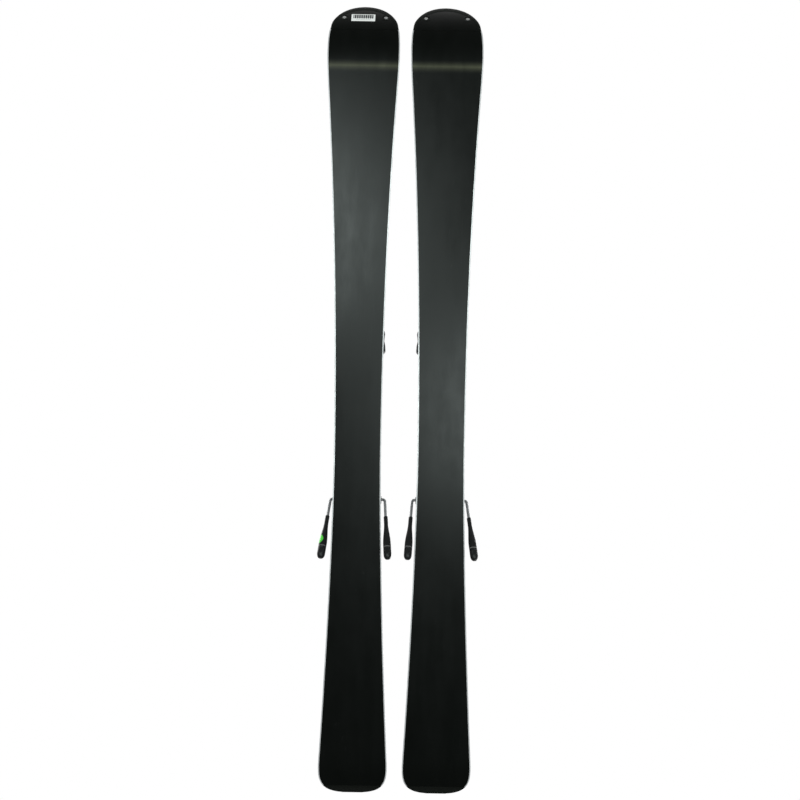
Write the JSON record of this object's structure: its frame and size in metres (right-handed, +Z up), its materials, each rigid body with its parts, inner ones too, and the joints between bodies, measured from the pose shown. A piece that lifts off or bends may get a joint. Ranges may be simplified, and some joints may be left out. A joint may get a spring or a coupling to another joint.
{
  "type": "alpine skis with bindings",
  "caption": "Pair of alpine skis with release bindings: black bases, steel edges, upturned tips, toe and heel units, and spring ski brakes with splayed arms.",
  "frame": {"origin": "on the floor under the middle of the pair: the floor is the plane under the deployed brake feet", "axes": "+X across the pair towards the right ski, +Y towards the tips, +Z up, from the bases to the bindings"},
  "size_m": [0.2818, 1.451, 0.1659],
  "materials": {
    "base": "semi-gloss black sintered base",
    "edge_steel": "ground steel",
    "core_wood": "laminated poplar",
    "sidewall": "satin black",
    "top_sheet": "charcoal, satin lacquer",
    "protector": "black, fine grain",
    "zinc": "zinc-plated, satin",
    "spring_steel": "oiled spring steel",
    "wire_steel": "satin drawn wire",
    "plate": "black, fine grain",
    "binding_body": "black glass-filled nylon",
    "housing": "dark grey glass-filled nylon",
    "wing": "dark grey glass-filled nylon",
    "accent": "lime green, satin",
    "glide_plate": "low-friction white-grey",
    "pedal": "black, ribbed",
    "brake_foot": "black, fine grain"
  },
  "bodies": {
    "left_ski": {"left_base_sheet": "base", "left_steel_edges": "edge_steel", "left_core": "core_wood", "left_sidewalls": "sidewall", "left_top_sheet": "top_sheet", "left_tip_cap": "protector", "left_tip_rivets": "zinc", "left_tail_cap": "protector", "left_binding_plate": "plate", "left_plate_screws": "zinc", "left_toe_base": "binding_body", "left_toe_cover": "accent", "left_toe_wing_pins": "zinc", "left_toe_spring": "spring_steel"},
    "left_wing_l": {"left_toe_wing_left": "wing"},
    "left_wing_r": {"left_toe_wing_right": "wing"},
    "left_toe_rod": {"left_toe_piston": "zinc"},
    "left_toe_setting": {"left_toe_din_screw": "zinc"},
    "left_glide": {"left_afd_plate": "glide_plate"},
    "left_heel_slider": {"left_heel_carriage": "binding_body", "left_heel_axle": "zinc", "left_brake_base": "binding_body"},
    "left_heel": {"left_heel_housing": "housing", "left_heel_spring": "spring_steel"},
    "left_lever": {"left_heel_lever": "accent"},
    "left_heel_plunger": {"left_heel_piston": "zinc"},
    "left_heel_setting": {"left_heel_din_screw": "zinc"},
    "left_brake": {"left_brake_wires": "wire_steel", "left_brake_feet": "brake_foot"},
    "left_pedal": {"left_brake_pad": "pedal"},
    "right_ski": {"right_base_sheet": "base", "right_steel_edges": "edge_steel", "right_core": "core_wood", "right_sidewalls": "sidewall", "right_top_sheet": "top_sheet", "right_tip_cap": "protector", "right_tip_rivets": "zinc", "right_tail_cap": "protector", "right_binding_plate": "plate", "right_plate_screws": "zinc", "right_toe_base": "binding_body", "right_toe_cover": "accent", "right_toe_wing_pins": "zinc", "right_toe_spring": "spring_steel"},
    "right_wing_l": {"right_toe_wing_left": "wing"},
    "right_wing_r": {"right_toe_wing_right": "wing"},
    "right_toe_rod": {"right_toe_piston": "zinc"},
    "right_toe_setting": {"right_toe_din_screw": "zinc"},
    "right_glide": {"right_afd_plate": "glide_plate"},
    "right_heel_slider": {"right_heel_carriage": "binding_body", "right_heel_axle": "zinc", "right_brake_base": "binding_body"},
    "right_heel": {"right_heel_housing": "housing", "right_heel_spring": "spring_steel"},
    "right_lever": {"right_heel_lever": "accent"},
    "right_heel_plunger": {"right_heel_piston": "zinc"},
    "right_heel_setting": {"right_heel_din_screw": "zinc"},
    "right_brake": {"right_brake_wires": "wire_steel", "right_brake_feet": "brake_foot"},
    "right_pedal": {"right_brake_pad": "pedal"}
  },
  "joints": [
    {"name": "left_toe_wing_right_swing", "type": "hinge", "parent": "left_ski", "child": "left_wing_r", "pos_m": [-0.0475, 0.1165, 0.09988], "axis": [0, 0, 1], "range_deg": [0, 22], "stiffness_Nm_per_rad": 30},
    {"name": "left_toe_wing_left_swing", "type": "hinge", "parent": "left_ski", "child": "left_wing_l", "pos_m": [-0.1035, 0.1165, 0.09988], "axis": [0, 0, 1], "range_deg": [-22, 0]},
    {"name": "left_toe_rod_pull", "type": "slide", "parent": "left_ski", "child": "left_toe_rod", "axis": [0, -1, 0], "range_m": [0, 0.0032], "deforming": ["left_toe_spring"]},
    {"name": "left_toe_setting_turn", "type": "hinge", "parent": "left_ski", "child": "left_toe_setting", "pos_m": [-0.0755, 0.1485, 0.10088], "axis": [0, 1, 0], "range_deg": [-360, 360]},
    {"name": "left_glide_plate_shift", "type": "slide", "parent": "left_ski", "child": "left_glide", "axis": [1, 0, 0], "range_m": [-0.006, 0.006], "stiffness_N_per_m": 800},
    {"name": "left_heel_unit_adjust", "type": "slide", "parent": "left_ski", "child": "left_heel_slider", "axis": [0, 1, 0], "range_m": [-0.015, 0.015]},
    {"name": "left_heel_open", "type": "hinge", "parent": "left_heel_slider", "child": "left_heel", "pos_m": [-0.0755, -0.2825, 0.09688], "axis": [1, 0, 0], "range_deg": [0, 50]},
    {"name": "left_heel_lever_press", "type": "hinge", "parent": "left_heel", "child": "left_lever", "pos_m": [-0.0755, -0.2665, 0.13888], "axis": [1, 0, 0], "range_deg": [0, 20], "stiffness_Nm_per_rad": 0.6, "springref_deg": -17.19},
    {"name": "left_heel_plunger_push", "type": "slide", "parent": "left_heel", "child": "left_heel_plunger", "axis": [0, -1, 0], "range_m": [0, 0.0045], "deforming": ["left_heel_spring"]},
    {"name": "left_heel_setting_turn", "type": "hinge", "parent": "left_heel", "child": "left_heel_setting", "pos_m": [-0.0755, -0.2905, 0.11288], "axis": [0, 1, 0], "range_deg": [-360, 360]},
    {"name": "left_brake_swing", "type": "hinge", "parent": "left_heel_slider", "child": "left_brake", "pos_m": [-0.0755, -0.1985, 0.08188], "axis": [-1, 0, 0], "range_deg": [0, 44], "stiffness_Nm_per_rad": 3, "springref_deg": -57.3},
    {"name": "left_brake_pedal_tilt", "type": "hinge", "parent": "left_brake", "child": "left_pedal", "pos_m": [-0.0755, -0.16253, 0.11662], "axis": [-1, 0, 0], "range_deg": [-24, 0]},
    {"name": "right_ski_glide", "type": "slide", "parent": "left_ski", "child": "right_ski", "axis": [0, 1, 0], "range_m": [-0.3, 0.3]},
    {"name": "right_toe_wing_right_swing", "type": "hinge", "parent": "right_ski", "child": "right_wing_r", "pos_m": [0.1035, 0.1165, 0.09988], "axis": [0, 0, 1], "range_deg": [0, 22], "stiffness_Nm_per_rad": 30},
    {"name": "right_toe_wing_left_swing", "type": "hinge", "parent": "right_ski", "child": "right_wing_l", "pos_m": [0.0475, 0.1165, 0.09988], "axis": [0, 0, 1], "range_deg": [-22, 0]},
    {"name": "right_toe_rod_pull", "type": "slide", "parent": "right_ski", "child": "right_toe_rod", "axis": [0, -1, 0], "range_m": [0, 0.0032], "deforming": ["right_toe_spring"]},
    {"name": "right_toe_setting_turn", "type": "hinge", "parent": "right_ski", "child": "right_toe_setting", "pos_m": [0.0755, 0.1485, 0.10088], "axis": [0, 1, 0], "range_deg": [-360, 360]},
    {"name": "right_glide_plate_shift", "type": "slide", "parent": "right_ski", "child": "right_glide", "axis": [1, 0, 0], "range_m": [-0.006, 0.006], "stiffness_N_per_m": 800},
    {"name": "right_heel_unit_adjust", "type": "slide", "parent": "right_ski", "child": "right_heel_slider", "axis": [0, 1, 0], "range_m": [-0.015, 0.015]},
    {"name": "right_heel_open", "type": "hinge", "parent": "right_heel_slider", "child": "right_heel", "pos_m": [0.0755, -0.2825, 0.09688], "axis": [1, 0, 0], "range_deg": [0, 50]},
    {"name": "right_heel_lever_press", "type": "hinge", "parent": "right_heel", "child": "right_lever", "pos_m": [0.0755, -0.2665, 0.13888], "axis": [1, 0, 0], "range_deg": [0, 20], "stiffness_Nm_per_rad": 0.6, "springref_deg": -17.19},
    {"name": "right_heel_plunger_push", "type": "slide", "parent": "right_heel", "child": "right_heel_plunger", "axis": [0, -1, 0], "range_m": [0, 0.0045], "deforming": ["right_heel_spring"]},
    {"name": "right_heel_setting_turn", "type": "hinge", "parent": "right_heel", "child": "right_heel_setting", "pos_m": [0.0755, -0.2905, 0.11288], "axis": [0, 1, 0], "range_deg": [-360, 360]},
    {"name": "right_brake_swing", "type": "hinge", "parent": "right_heel_slider", "child": "right_brake", "pos_m": [0.0755, -0.1985, 0.08188], "axis": [-1, 0, 0], "range_deg": [0, 44], "stiffness_Nm_per_rad": 3, "springref_deg": -57.3},
    {"name": "right_brake_pedal_tilt", "type": "hinge", "parent": "right_brake", "child": "right_pedal", "pos_m": [0.0755, -0.16253, 0.11662], "axis": [-1, 0, 0], "range_deg": [-24, 0]}
  ],
  "couplings": [
    {"joint": "left_toe_wing_left_swing", "follows": "left_toe_wing_right_swing", "ratio": -1},
    {"joint": "left_toe_rod_pull", "follows": "left_toe_wing_right_swing", "m_per_rad": 0.0081},
    {"joint": "left_heel_plunger_push", "follows": "left_heel_open", "m_per_rad": 0.005},
    {"joint": "left_brake_pedal_tilt", "follows": "left_brake_swing", "ratio": -0.54545},
    {"joint": "right_toe_wing_left_swing", "follows": "right_toe_wing_right_swing", "ratio": -1},
    {"joint": "right_toe_rod_pull", "follows": "right_toe_wing_right_swing", "m_per_rad": 0.0081},
    {"joint": "right_heel_plunger_push", "follows": "right_heel_open", "m_per_rad": 0.005},
    {"joint": "right_brake_pedal_tilt", "follows": "right_brake_swing", "ratio": -0.54545}
  ]
}
